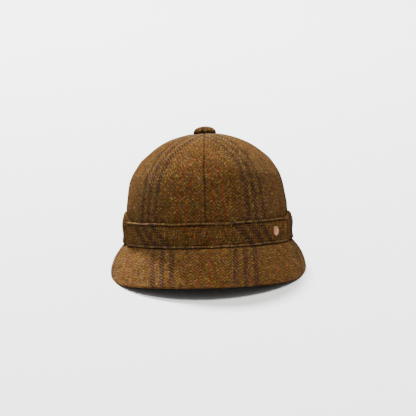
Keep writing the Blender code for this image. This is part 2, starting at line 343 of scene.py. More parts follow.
# The weave is a herringbone: a two-and-two twill that turns back after every six warp yarns.
# All lengths here are millimetres, and colours are of the yarns themselves.
WARP_PITCH = 0.8833
WEFT_PITCH = 0.93
WARPS_IN_RIB = 6.0
RIBS_IN_REPEAT = 16.0

# Where the warp lies on top, and where the coloured ribs and warps lie in the repeat.
TWILL_STEPS = 4.0
LAST_STEP_OVER = 1.5
LAST_PLUM_RIB = 4.5
RED_MIDDLE_RIB = 10.0
RED_WARPS = 2.5

# The yarns. Each float draws one of them, and the first number is where its share begins.
BROWN_WARP = (0.0255, 0.0112, 0.0036)
PLUM_WARP = (0.0165, 0.0082, 0.0078)
RED_WARP = (0.082, 0.0092, 0.0046)
YARNS = (
    (0.00, (0.062, 0.0278, 0.0078)),
    (0.24, (0.074, 0.0352, 0.0102)),
    (0.50, (0.084, 0.0463, 0.0136)),
    (0.68, (0.043, 0.0190, 0.0066)),
    (0.79, (0.104, 0.0690, 0.0185)),
    (0.88, (0.088, 0.0385, 0.0112)),
    (0.92, (0.043, 0.0355, 0.0150)),
    (0.97, (0.066, 0.0505, 0.0370)),
)

# How much the drawn yarns and wear show in the warps, and how patches of the dye are cast.
PLAIN_WARP_YARN = 0.42
PLUM_WORN = 0.70
PLUM_WEFT = 0.30
RED_BROKEN = 0.50
WORN_PATCHES = 0.42
CAST_PATCHES = 0.16
OLIVE_CAST = (0.96, 1.01, 0.84)
ROSE_CAST = (1.06, 0.96, 1.18)
# The tint of the painted highlight, paler and greyer like lit nap, and the shade where it is full.
HIGHLIGHT_TINT = (1.00, 1.17, 1.48)
HIGHLIGHT_TINT_FULL = -0.30

# How the yarns wander, as noise per millimetre and reach in millimetres.
SWAY = (0.09, 2.2)
JITTER = (0.75, 0.28)
LIFT = (0.12, 3.0)
RIPPLE = (0.70, 0.28)

# How the cloth's brightness swings, as noise per millimetre, darkest and lightest.
HAIRS = (1.5, 0.64, 1.40)
PATCHES = (0.085, 0.80, 1.22)
MOTTLE = (0.28, 0.75, 1.29)
FLOAT_GAIN = (0.80, 1.23)

# How a yarn is rounded along and across its float, the painted shade that darkens the hollows
# between yarns, and what the Shade input's painted shade or highlight does to the cloth.
ARCH_POWER = 0.6
YARN_ROUNDING = 2.6
YARN_GAP_SHADE = 0.48
SHADE_RANGE = (-0.6, 1.0)
SHADE_TONE = (1.51, 0.15)
HAIR_ROUGHNESS = (0.97, 0.82)
HAIR_HEIGHT = 0.30
RELIEF_METRES = 0.00045
SHEEN_WEIGHT = 0.02
SHEEN_ROUGHNESS = 0.35
SHEEN_TINT = (1.0, 0.80, 0.54)


def build_tweed_group():
    """Every float of yarn is drawn in its place in the weave, with its own colour and rounding."""
    group = bpy.data.node_groups.new("herringbone_tweed", "ShaderNodeTree")
    face = group.interface
    face.new_socket("Cloth", in_out="INPUT", socket_type="NodeSocketVector")
    for name in ("Across", "Turn", "Shade", "Brightness"):
        face.new_socket(name, in_out="INPUT", socket_type="NodeSocketFloat")
    face.new_socket("Color", in_out="OUTPUT", socket_type="NodeSocketColor")
    face.new_socket("Roughness", in_out="OUTPUT", socket_type="NodeSocketFloat")
    face.new_socket("Height", in_out="OUTPUT", socket_type="NodeSocketFloat")
    w = Wiring(group)
    given = w.node("NodeGroupInput").outputs
    scaled = w.node("ShaderNodeVectorMath", operation="SCALE")
    w.join(given["Cloth"], scaled.inputs[0])
    scaled.inputs["Scale"].default_value = 1000.0
    turned = w.node("ShaderNodeVectorRotate", rotation_type="Z_AXIS")
    w.join(scaled.outputs[0], turned.inputs["Vector"])
    w.join(given["Turn"], turned.inputs["Angle"])
    place = turned.outputs[0]
    parts = w.node("ShaderNodeSeparateXYZ")
    w.join(place, parts.inputs[0])

    # The cloth is never quite square: the yarns wander a little, in long waves and in short ones.
    swapped = w.vector(parts.outputs[1], parts.outputs[0], 7.0)
    slide = w.math("ADD", w.wander(place, *SWAY), w.wander(place, *JITTER))
    across = w.math("ADD", w.math("ADD", parts.outputs[0], given["Across"]), slide)
    up = w.math("ADD", parts.outputs[1], w.wander(swapped, *LIFT))
    up = w.math("ADD", up, w.wander(swapped, *RIPPLE))
    warp = w.math("DIVIDE", across, WARP_PITCH)
    weft = w.math("DIVIDE", up, WEFT_PITCH)
    warp_number = w.math("FLOOR", warp)
    weft_number = w.math("FLOOR", weft)
    mirrored = w.math("PINGPONG", warp, WARPS_IN_RIB)
    twill = w.math("ADD", weft_number, w.math("FLOOR", mirrored))
    step = w.math("FLOORED_MODULO", twill, TWILL_STEPS)
    warp_on_top = w.math("LESS_THAN", step, LAST_STEP_OVER)

    # How far along its float each point is, and how far from the yarn's middle.
    along_warp = w.math("MULTIPLY", w.math("ADD", step, w.math("FRACT", weft)), 0.5)
    weft_step = w.math("SUBTRACT", step, TWILL_STEPS / 2)
    along_weft = w.math("MULTIPLY", w.math("ADD", weft_step, w.math("FRACT", mirrored)), 0.5)
    along = w.pick(warp_on_top, along_weft, along_warp)
    across_warp = w.math("SUBTRACT", w.math("FRACT", warp), 0.5)
    across_weft = w.math("SUBTRACT", w.math("FRACT", weft), 0.5)
    beside = w.pick(warp_on_top, across_weft, across_warp)
    hump = w.math("MAXIMUM", w.math("SINE", w.math("MULTIPLY", along, math.pi)), 0.0)
    rounding = w.math("COSINE", w.math("MULTIPLY", beside, YARN_ROUNDING))
    relief = w.math("MULTIPLY", w.math("POWER", hump, ARCH_POWER), rounding)

    # Each float draws its own colour, and finer hairs break it up.
    float_number = w.math("FLOOR", w.math("DIVIDE", twill, TWILL_STEPS))
    yarn_number = w.pick(warp_on_top, weft_number, warp_number)
    rib_number = w.math("FLOOR", w.math("DIVIDE", warp_number, WARPS_IN_RIB))
    which = w.math("MULTIPLY_ADD", rib_number, 2.0, warp_on_top)
    second = w.draw(float_number, which, yarn_number)
    yarn = w.ramp(w.draw(yarn_number, float_number, which), YARNS, "CONSTANT")
    gain = w.span(second, 0.0, 1.0, *FLOAT_GAIN, "LINEAR")
    hairs = w.swing(place, *HAIRS)
    patches = w.swing(place, *PATCHES)
    mottle = w.swing(swapped, *MOTTLE)

    # Three plum ribs with a plain one between each, then a pair of broken red pinstripes.
    in_repeat = w.math("FLOORED_MODULO", rib_number, RIBS_IN_REPEAT)
    every_other = w.math("SUBTRACT", 1.0, w.math("PINGPONG", in_repeat, 1.0))
    plum = w.math("MULTIPLY", w.math("LESS_THAN", in_repeat, LAST_PLUM_RIB), every_other)
    in_rib = w.math("FLOORED_MODULO", warp_number, WARPS_IN_RIB)
    from_red = w.math("ABSOLUTE", w.math("SUBTRACT", in_repeat, RED_MIDDLE_RIB))
    red = w.math("COMPARE", from_red, 1.0, 0.1)
    red = w.math("MULTIPLY", red, w.math("COMPARE", in_rib, RED_WARPS, 0.6))
    broken = w.span(second, 0.05, 0.60, RED_BROKEN, 1.00)
    worn = w.span(w.noise(place, WORN_PATCHES, 2.0), 0.34, 0.62, 1.00, PLUM_WORN)
    plain_warp = w.mix(PLAIN_WARP_YARN, (*BROWN_WARP, 1.0), yarn)
    striped = w.mix(w.math("MULTIPLY", plum, worn), plain_warp, (*PLUM_WARP, 1.0))
    striped = w.mix(w.math("MULTIPLY", red, broken), striped, (*RED_WARP, 1.0))
    dusky = w.mix(w.math("MULTIPLY", plum, PLUM_WEFT), yarn, (*PLUM_WARP, 1.0))
    colour = w.mix(warp_on_top, dusky, striped)

    # The dye varies from olive to rose in patches. A shade above zero darkens the cloth as painted
    # shade, and in seams also as their own dark line; below zero it is painted highlight.
    cast = w.span(w.noise(swapped, CAST_PATCHES, 3.0), 0.34, 0.66)
    cast = w.mix(cast, (*OLIVE_CAST, 1.0), (*ROSE_CAST, 1.0))
    painted_highlight = w.span(given["Shade"], 0.0, HIGHLIGHT_TINT_FULL)
    painted_highlight = w.mix(painted_highlight, (1.0, 1.0, 1.0, 1.0), (*HIGHLIGHT_TINT, 1.0))
    colour = w.mix(1.0, w.mix(1.0, colour, cast, "MULTIPLY"), painted_highlight, "MULTIPLY")
    tone = w.math("MULTIPLY", w.math("MULTIPLY", gain, hairs), mottle)
    # The hollows between the yarns are darkened as painted shade.
    tone = w.math("MULTIPLY", tone, w.math("MULTIPLY_ADD", relief, YARN_GAP_SHADE, 1 - YARN_GAP_SHADE))
    tone = w.math("MULTIPLY", tone, w.math("MULTIPLY", patches, given["Brightness"]))
    tone = w.math("MULTIPLY", tone, w.span(given["Shade"], *SHADE_RANGE, *SHADE_TONE, "LINEAR"))
    colour = w.mix(1.0, colour, w.vector(tone, tone, tone), "MULTIPLY")

    result = w.node("NodeGroupOutput").inputs
    w.join(colour, result["Color"])
    w.join(w.span(hairs, 0.6, 1.4, *HAIR_ROUGHNESS, "LINEAR"), result["Roughness"])
    w.join(w.math("ADD", relief, w.math("MULTIPLY", hairs, HAIR_HEIGHT)), result["Height"])
    return group


TWEED_GROUP = build_tweed_group()


def tweed(name, across=0.0, turn=0.0, brightness=1.0):
    """Wool tweed. Across slides the stripes over the piece in millimetres, and turn is the bias."""
    made = bpy.data.materials.new(name)
    made.use_nodes = True
    w = Wiring(made.node_tree)
    shader = made.node_tree.nodes["Principled BSDF"]
    cloth = w.node("ShaderNodeGroup")
    cloth.node_tree = TWEED_GROUP
    shade = w.node("ShaderNodeAttribute", attribute_name="shade")
    w.join(w.node("ShaderNodeUVMap", uv_map="cloth").outputs["UV"], cloth.inputs["Cloth"])
    w.join(shade.outputs["Fac"], cloth.inputs["Shade"])
    cloth.inputs["Across"].default_value = across
    cloth.inputs["Turn"].default_value = math.radians(turn)
    cloth.inputs["Brightness"].default_value = brightness
    w.join(cloth.outputs["Color"], shader.inputs["Base Color"])
    w.join(cloth.outputs["Roughness"], shader.inputs["Roughness"])
    bump = w.node("ShaderNodeBump")
    bump.inputs["Strength"].default_value = 1.0
    bump.inputs["Distance"].default_value = RELIEF_METRES
    w.join(cloth.outputs["Height"], bump.inputs["Height"])
    w.join(bump.outputs["Normal"], shader.inputs["Normal"])
    shader.inputs["Specular IOR Level"].default_value = 0.0
    shader.inputs["Sheen Weight"].default_value = SHEEN_WEIGHT
    shader.inputs["Sheen Roughness"].default_value = SHEEN_ROUGHNESS
    shader.inputs["Sheen Tint"].default_value = (*SHEEN_TINT, 1.0)
    return made


GORE_COLUMNS = 84
GORE_RINGS = 100
GORE_CROWDING = 0.135
WIDTH_COLUMNS = 120
WIDTH_ROWS = 200

# The seams' grooves, which fade out under the button, and the puckered swelling beside them. The
# grooves are darkened as painted shade and as the seams' own dark line.
SEAM_DEPTH = 0.0010
SEAM_WIDTH = 0.0007
SEAM_PRESS = 0.00004
SEAM_FADES = (0.006, 0.026)
SWELL_AT = 0.0042
SWELL_WIDTH = 0.0026
SWELL_RISE = 0.00022
PUCKER_RISE = 0.00020
PUCKER_PITCH = 0.0071
PUCKER_DRIFT = 0.013
SEAM_SHADE = 0.40
PUCKER_SHADE = 0.35

# Softness by size, seed and rise, and the heights over which it sets in above the band.
GORE_WIDE = (0.050, 11, 0.00055)
GORE_CLOSE = (0.018, 12, 0.00012)
ABOVE_BAND = (0.012, 0.040)

# What is turned in: how far, how soft its edge is, and how it thickens the wall.
ALLOWANCE = 0.0085
ALLOWANCE_EDGE = 0.0010
HEM = 0.0160
HEM_EDGE = 0.0015
SINGLE_INSET = 0.0005
FOLDED_INSET = 0.0006

# The crown's top has a painted highlight, and one gore's stripes draw in. Each sets in over a
# stretch of the cloth, measured down from the top for the highlight and up from the rim for
# the stripes.
CROWN_TOP_HIGHLIGHT = 0.28
CROWN_HIGHLIGHT_BELOW = (0.052, 0.014)
SHRUNK_FRONT = 0.15
SHRUNK_OVER = (0.025, 0.110)


def width_across(start, end, turn, along):
    """How far each point of a gore is from its first seam, and how wide the gore is there."""
    turns = np.linspace(start, end, WIDTH_COLUMNS + 1)
    rings = crown_point(turns[:, None], np.linspace(0, CROWN_LENGTH, WIDTH_ROWS)[None, :])
    runs = np.linalg.norm(np.diff(rings, axis=0), axis=2)
    lengths = np.concatenate([np.zeros((1, WIDTH_ROWS)), np.cumsum(runs, 0)])
    column = (turn - start) / (end - start) * WIDTH_COLUMNS
    row = along / CROWN_LENGTH * (WIDTH_ROWS - 1)
    i = np.minimum(column.astype(int), WIDTH_COLUMNS - 1)
    j = np.minimum(row.astype(int), WIDTH_ROWS - 2)
    a, b = column - i, row - j
    low = lengths[i, j] * (1 - a) + lengths[i + 1, j] * a
    high = lengths[i, j + 1] * (1 - a) + lengths[i + 1, j + 1] * a
    whole = lengths[-1, j] * (1 - b) + lengths[-1, j + 1] * b
    return low * (1 - b) + high * b, whole


def make_gore(name, start, end, across, shrunk=0.0):
    """One gore from one turn to another, with its stripes slid across, on the piece it rests on.

    Its cloth lines run along its own middle, so stripes run out into the seams. Shrunk is how
    much narrower they stand towards the top, where the cloth was steamed round.
    """
    mesh = bmesh.new()
    bmesh.ops.create_grid(mesh, x_segments=GORE_COLUMNS, y_segments=GORE_RINGS, size=0.5)
    inner = mesh.verts.layers.int.new("inner")
    lifted = bmesh.ops.extrude_face_region(mesh, geom=mesh.faces[:])
    for item in lifted["geom"]:
        if isinstance(item, bmesh.types.BMVert):
            item[inner] = 1
    grid = np.array([vertex.co for vertex in mesh.verts])
    inside = np.array([vertex[inner] for vertex in mesh.verts])
    u, v = grid[:, 0] + 0.5, grid[:, 1] + 0.5
    u = u - GORE_CROWDING * np.sin(math.tau * u)
    turn = start + (end - start) * u
    low = np.interp(rim_height(turn), HEIGHTS, ALONG)
    along = low + (CROWN_LENGTH * CROWN_TOP_SHARE - low) * v
    points = crown_point(turn, along)
    normal = crown_normal(turn, along)
    around = crown_round(turn, along)
    done, whole = width_across(start, end, turn, along)
    from_seam = np.minimum(done, whole - done)

    # The outer face: a groove at each seam, a puckered swelling beside it, and soft cloth.
    groove = mound(from_seam, 0, SEAM_WIDTH) * smooth_share(CROWN_LENGTH - along, *SEAM_FADES)
    pucker = 0.5 + 0.5 * np.sin(along / PUCKER_PITCH + 2.0 * np.sin(along / PUCKER_DRIFT))
    swell = mound(from_seam, SWELL_AT, SWELL_WIDTH) * (SWELL_RISE + PUCKER_RISE * pucker)
    soft = unevenness(points, *GORE_WIDE) + unevenness(points, *GORE_CLOSE)
    above_band = smooth_share(points[:, 2], *ABOVE_BAND)
    face = (swell + soft) * above_band - groove * SEAM_DEPTH

    # The inner face is thicker where the seam's allowances and the hem are folded on to it.
    hem = smooth_share(along, HEM + HEM_EDGE, HEM)
    fold = np.maximum(smooth_share(from_seam, ALLOWANCE + ALLOWANCE_EDGE, ALLOWANCE), hem)
    back = -CLOTH_WALL + SINGLE_INSET - FOLDED_INSET * fold + soft * above_band
    edge = np.where(u < CLOSE, 1.0, np.where(u > 1 - CLOSE, -1.0, 0.0))
    points = points + normal * np.where(inside == 1, back, face)[:, None]
    points = points - around * (edge * SEAM_PRESS)[:, None]
    at_rim = v < CLOSE
    points[at_rim, 2] = rim_height(turn[at_rim])

    narrowed = 1 + shrunk * smooth_share(along, *SHRUNK_OVER)
    cloth = np.stack([(done - whole / 2) * narrowed, along], -1)
    # Painted highlight: the crown is paler and greyer near the top.
    top_highlight = CROWN_TOP_HIGHLIGHT * smooth_share(CROWN_LENGTH - along, *CROWN_HIGHLIGHT_BELOW)
    # Painted shade, with the seams' own dark line, in the seam grooves and more in the puckers.
    shade = (groove * (SEAM_SHADE + PUCKER_SHADE * pucker) - top_highlight) * (1 - inside)
    gore = finish_piece(mesh, name + "_cloth", on_table(points), cloth, shade,
                        tweed(name + "_tweed", across))
    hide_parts(name)


make_gore("gore_front_left", 0.0, 90.0, 31.9, SHRUNK_FRONT)
make_gore("gore_back_left", 90.0, 180.0, 20.0)
make_gore("gore_back_right", 180.0, 270.0, -9.0)
make_gore("gore_front_right", 270.0, 360.0, 4.7)


# Peak. A stiff crescent covered in tweed above and below, sewn under the front half of the rim.
# Its stripes run straight over the flat crescent, so they fan out as it curves round the head.

PEAK_LENGTH = 0.0477
PEAK_THICKNESS = 0.0028
PEAK_SEAM_OUT = 0.0027
PEAK_ROOT_EASE = 14.0
PEAK_END = 92.0
PEAK_BEND = 7.0
PEAK_INNER = 0.0036

# Where its faces stop short of the turn at its root, how far the turn drops, and how far its edge
# stands proud, as shares of its thickness, or of the gap for the drop.
UPPER_SHORT = 0.43
LOWER_SHORT = 0.79
TURN_SHORT = 0.14
TURN_DROP = 1.6
EDGE_PROUD = 0.20

PEAK_COLUMNS = 230
PEAK_ROWS = 96
PEAK_WAVES = (0.040, 21)
PEAK_SOFT = (0.0, -0.00012, 0.00018)
# Painted shade along the peak's root under the band, and how wide it runs.
ROOT_SHADE = 0.10
ROOT_WIDTH = 0.0022

# Degrees from the front, length as a share of the longest, slope in degrees, and how far out it
# turns down, as a share of the front's.
PEAK_OUTLINE = np.array((
    (0.0, 1.000, 48.5, 1.00),
    (20.0, 0.990, 49.5, 1.00),
    (40.0, 0.969, 51.0, 1.00),
    (52.0, 0.916, 53.0, 1.11),
    (62.0, 0.805, 54.5, 1.41),
    (70.0, 0.675, 54.5, 1.55),
    (77.0, 0.528, 53.5, 1.59),
    (84.0, 0.335, 51.5, 1.74),
    (92.0, 0.073, 48.0, 1.85),
))
PEAK_STEPS = (0.07, 0.22, 0.42, 0.62, 0.81, 0.94, 1.0)


def closed_curve(knots, share):
    """Points at these shares of the way round smooth closed curves, one curve for each point."""
    count = knots.shape[1]
    at = share * count
    i = np.floor(at).astype(int) % count
    t = (at - np.floor(at))[:, None]
    column = np.arange(len(knots))
    a, b, c, d = (knots[column, (i + step) % count] for step in (-1, 0, 1, 2))
    return (a * (1 - t) ** 3 + b * (3 * t ** 3 - 6 * t ** 2 + 4)
            + c * (-3 * t ** 3 + 3 * t ** 2 + 3 * t + 1) + d * t ** 3) / 6


def tube_grid(columns, rows):
    """A grid that closes into a tube: how far each point is along it, and round it."""
    mesh = bmesh.new()
    bmesh.ops.create_grid(mesh, x_segments=columns, y_segments=rows, size=0.5)
    place = np.array([vertex.co for vertex in mesh.verts])
    return mesh, place[:, 0] + 0.5, place[:, 1] + 0.5


def peak_section(turn):
    """The closed outline of the peak at each turn: how far out, and how high."""
    side = np.abs(turn)
    length = PEAK_LENGTH * curve_through(PEAK_OUTLINE[:, 0], PEAK_OUTLINE[:, 1], side)
    slope = curve_through(PEAK_OUTLINE[:, 0], PEAK_OUTLINE[:, 2], side)
    start = PEAK_SEAM_OUT * curve_through(PEAK_OUTLINE[:, 0], PEAK_OUTLINE[:, 3], side)
    inner = FREE_GAP - PEAK_INNER + 0 * turn
    middle = (inner + start) / 2
    top, bottom = -FREE_GAP + 0 * turn, -FREE_GAP - PEAK_THICKNESS + 0 * turn
    upper = [(inner, top), (middle, top), (start - PEAK_THICKNESS * UPPER_SHORT, top)]
    lower = [(inner, bottom), (middle, bottom), (start - PEAK_THICKNESS * LOWER_SHORT, bottom)]
    out, height = start - PEAK_THICKNESS * TURN_SHORT, -FREE_GAP * TURN_DROP + 0 * turn
    done = 0.0
    for step in PEAK_STEPS:
        ease = PEAK_ROOT_EASE if done == 0 else 0
        lean = np.radians(slope + PEAK_BEND * (step - 0.5) - ease)
        out = out + (step - done) * length * np.cos(lean)
        height = height - (step - done) * length * np.sin(lean)
        done = step
        upper.append((out, height))
        lower.append((out - PEAK_THICKNESS * np.sin(lean), height - PEAK_THICKNESS * np.cos(lean)))
    edge = np.radians(slope + PEAK_BEND * 0.5)
    proud, half = PEAK_THICKNESS * EDGE_PROUD, PEAK_THICKNESS / 2
    tip = (out + proud * np.cos(edge) - half * np.sin(edge),
           height - proud * np.sin(edge) - half * np.cos(edge))
    return np.stack([np.stack(pair, -1) for pair in [*upper, tip, *reversed(lower)]], 1)


def flat_peak():
    """The peak's pattern laid flat: where its seam line runs, and which way its cloth points."""
    turns = np.linspace(-PEAK_END, PEAK_END, 1473)
    rim = level_point(turns, PEAK_SEAM_OUT + 0 * turns, 0 * turns)
    step = np.diff(rim, axis=0)
    heading = np.unwrap(np.arctan2(step[:, 1], step[:, 0]))
    middle = (turns[1:] + turns[:-1]) / 2
    slope = np.radians(curve_through(PEAK_OUTLINE[:, 0], PEAK_OUTLINE[:, 2], np.abs(middle)))
    turned = np.diff(heading) * np.cos((slope[1:] + slope[:-1]) / 2)
    fan = np.concatenate([[0.0], np.cumsum(turned)])
    fan -= np.interp(0.0, middle, fan)
    length = np.linalg.norm(step, axis=1)
    across = np.concatenate([[0.0], np.cumsum(length * np.cos(fan))])
    down = np.concatenate([[0.0], np.cumsum(length * np.sin(fan))])
    across -= np.interp(0.0, turns, across)
    down -= np.interp(0.0, turns, down)
    return turns, across, down, middle, fan


def make_peak():
    mesh, u, v = tube_grid(PEAK_COLUMNS, PEAK_ROWS)
    turn = (2 * u - 1) * PEAK_END
    section = closed_curve(peak_section(turn), v)
    out, height = section[:, 0], section[:, 1]
    points = level_point(turn, out, height)
    points += unevenness(points, *PEAK_WAVES)[:, None] * np.array(PEAK_SOFT)

    # Reach is how far a point lies from the seam along the cloth, below zero inside it.
    beyond = out - PEAK_SEAM_OUT
    reach = np.hypot(np.maximum(beyond, 0), height) - np.maximum(-beyond, 0)
    turns, across, down, middle, fan = flat_peak()
    angle = np.interp(turn, middle, fan)
    cloth = np.stack([np.interp(turn, turns, across) + reach * np.sin(angle),
                      np.interp(turn, turns, down) - reach * np.cos(angle)], -1)
    # Painted shade along the root, under the band.
    shade = ROOT_SHADE * mound(reach, 0, ROOT_WIDTH)
    points = on_table(points)
    points[:, 2] = np.maximum(points[:, 2], 0.0)
    # The peak's cloth is painted a quarter lighter, as a painted highlight.
    peak = finish_piece(mesh, "peak_cloth", points, cloth, shade,
                        tweed("peak_tweed", across=58.6, brightness=1.25))
    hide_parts("peak")


make_peak()


# Front band. A folded strip of the same tweed, cut on the bias, laid across the front. Its edges
# are turned in and stitched down, which leaves a rounded ridge along them with a groove inside it.

BAND_HEIGHT = 0.0250
BAND_THICKNESS = 0.0022
BAND_END = 70.0
BAND_CORNER = 0.0040
BAND_LOW = -0.0002
BAND_COLUMNS = 300
BAND_ROWS = 100
BAND_BIAS = -43.0
BAND_CROWDING = 0.36
BAND_OUTER = 0.7
CLIMB_CROWDING = 0.55

# The turned edge: its rounding, its ridge with the stitched groove behind, and the puff past it.
EDGE_ROUNDING = 0.55
INNER_ROUNDING = 0.0006
RIDGE = 0.0023
RIDGE_RISE = 0.00075
RIDGE_WIDTH = 0.0009
GROOVE_PAST = 0.0004
GROOVE_WIDTH = 0.0007
GROOVE_DEPTH = 0.0010
PUFF_RISE = 0.00022
PUFF_PAST = (0.0006, 0.0045)

# The stitching is full along the top and away from the ends, and pulls unevenly. These are the
# heights and distances that it changes over, and its shares elsewhere.
BAND_UPPER = (0.008, 0.016)
GROOVE_ENDS = (0.004, 0.010)
GROOVE_LOW = 0.75
GROOVE_AT_END = 0.45
PULL_MEAN = 0.75
PULL = (0.030, 33, 0.35)

# The ridges have a painted highlight, more along the bottom, and the groove has painted shade and
# the stitching's dark line, darkest along the top.
RIDGE_HIGHLIGHT_AT = 0.45
RIDGE_HIGHLIGHT_WIDTH = 0.0010
RIDGE_HIGHLIGHT_ENDS = (0.001, 0.008)
RIDGE_HIGHLIGHT_LOW = 0.58
RIDGE_HIGHLIGHT_LESS = 0.30
GROOVE_SHADE_LOW = 0.45
PALEST = -0.6

# Softness by size, seed and rise, the height from which the band's top edge waves, and between how
# many degrees before the flap it steps out.
BAND_SOFT = (0.030, 31, 0.00018)
BAND_WAVY = (0.045, 32, 0.00035)
BAND_WAVY_FROM = 0.012
STEP_OUT = (5.5, 0.8)
FLAP_TUCK_THICKNESS = 0.0015


def band_base(turn):
    """The band lies on the crown, and steps out over the flap's tucked ends."""
    over_flap = smooth_share(FLAP_FROM - np.abs(turn), *STEP_OUT)
    return FREE_GAP + (FLAP_TUCK_THICKNESS + FREE_GAP) * over_flap


def band_depth(from_end, height):
    """How far a point lies inside the band's outline, with its two upper corners rounded."""
    to_top = BAND_HEIGHT - height
    short_out = np.maximum(BAND_CORNER - from_end, 0)
    short_up = np.maximum(BAND_CORNER - to_top, 0)
    in_corner = (short_out > 0) & (short_up > 0)
    to_top = np.where(in_corner, BAND_CORNER - np.hypot(short_out, short_up), to_top)
    return np.maximum(np.minimum(np.minimum(from_end, height - BAND_LOW), to_top), 0)


def turned_edge(depth):
    """How the band's outer face rises and falls this far from its edge, and its stitch groove."""
    radius = BAND_THICKNESS * EDGE_ROUNDING
    short = np.clip(radius - depth, 0, radius)
    rounding = np.sqrt(np.maximum(radius ** 2 - short ** 2, 0)) - radius
    ridge = mound(depth, RIDGE / 2, RIDGE_WIDTH)
    face = rounding + RIDGE_RISE * ridge + PUFF_RISE * smooth_share(depth - RIDGE, *PUFF_PAST)
    return face, mound(depth, RIDGE + GROOVE_PAST, GROOVE_WIDTH)


def make_band():
    mesh, u, v = tube_grid(BAND_COLUMNS, BAND_ROWS)
    turn = (2 * (u - BAND_CROWDING * np.sin(math.tau * u) / math.tau) - 1) * BAND_END
    around = rim_length(turn)
    from_end = rim_length(BAND_END) - np.abs(around)
    short = np.maximum(BAND_CORNER - from_end, 0)
    top = BAND_HEIGHT - BAND_CORNER + np.sqrt(np.maximum(BAND_CORNER ** 2 - short ** 2, 0))

    # The outer face takes most of the rows, closest together in the two ridges.
    outer = v < BAND_OUTER
    climb = np.clip(v / BAND_OUTER, 0, 1)
    climb = climb - CLIMB_CROWDING * np.sin(math.tau * climb) / math.tau
    fall = np.clip((v - BAND_OUTER) / (1 - BAND_OUTER), 0, 1)
    height = np.where(outer, BAND_LOW + (top - BAND_LOW) * climb, top + (BAND_LOW - top) * fall)
    depth = band_depth(from_end, height)

    face, groove = turned_edge(depth)
    upper = smooth_share(height, *BAND_UPPER)
    off_end = smooth_share(from_end, *GROOVE_ENDS)
    groove = groove * (GROOVE_LOW + (1 - GROOVE_LOW) * upper)
    groove = groove * (GROOVE_AT_END + (1 - GROOVE_AT_END) * off_end)
    groove = groove * (PULL_MEAN + unevenness(np.stack([around, 0 * turn, 0 * turn], -1), *PULL))
    base = band_base(turn)
    round_in = np.maximum(INNER_ROUNDING - depth, 0)
    back = base + INNER_ROUNDING - np.sqrt(np.maximum(INNER_ROUNDING ** 2 - round_in ** 2, 0))
    out = np.where(outer, base + BAND_THICKNESS + face - GROOVE_DEPTH * groove, back)
    points = level_point(turn, out, height)
    points = pushed_out(points, unevenness(points, *BAND_SOFT) * outer)
    loose = smooth_share(height, BAND_WAVY_FROM, BAND_HEIGHT)
    points[:, 2] += unevenness(points, *BAND_WAVY) * loose

    cloth = np.stack([around, np.where(outer, height, 2 * BAND_HEIGHT - height)], -1)
    # Painted highlight on the ridges; painted shade and the stitching's dark line in the groove.
    ridge_highlight = mound(depth, RIDGE * RIDGE_HIGHLIGHT_AT, RIDGE_HIGHLIGHT_WIDTH) * smooth_share(from_end, *RIDGE_HIGHLIGHT_ENDS)
    shade = groove * (GROOVE_SHADE_LOW + (1 - GROOVE_SHADE_LOW) * upper)
    shade = shade - (RIDGE_HIGHLIGHT_LOW - RIDGE_HIGHLIGHT_LESS * upper) * ridge_highlight
    shade = np.clip(shade, PALEST, 1) * outer
    # The band's cloth is painted a little lighter, as a painted highlight.
    band = finish_piece(mesh, "band_cloth", on_table(points), cloth, shade,
                        tweed("band_tweed", across=51.2, turn=BAND_BIAS, brightness=1.03))
    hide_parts("front_band")


make_band()


# Ear flap. A doubled strip sewn to the rim round the sides and back and folded up outside it, with
# both front ends tucked under the band. It could be folded down over the ears.

FLAP_HEIGHT = 0.0310
FLAP_SLANT = 0.0020
FLAP_THICKNESS = 0.0036
FLAP_TUCK_DROP = 0.0085
FLAP_LIP = 0.0018
FLAP_LEAN = 0.0014
FLAP_FOLD = 0.0020
FLAP_COLUMNS = 340
FLAP_ROWS = 84

# The flap thins and sinks towards its tucked ends, over these many degrees past the band's end.
THIN_OVER = (3.0, 9.0)
RISEN_AT = 10.0

# The stretch of its outline that is the outer face, the part sewn under the rim, and the stitching.
# The stitch groove is darkened as painted shade.
FLAP_OUTER = (0.18, 0.62)
FLAP_WALL = 0.0025
FLAP_WALL_TURN = 0.0006
STITCH_DOWN = 0.0042
STITCH_WIDTH = 0.0006
STITCH_DEPTH = 0.0005
STITCH_SHADE = 0.6

# Softness by size, seed and rise, the heights it sets in over, and how far in it may go.
FLAP_WIDE = (0.045, 41, 0.0006)
FLAP_CLOSE = (0.020, 42, 0.0002)
FLAP_WAVY = (0.060, 43, 0.0008)
FLAP_LOOSE = (0.006, 0.022)
FLAP_INWARD = -0.0002
FOLD_TURN = 0.0030


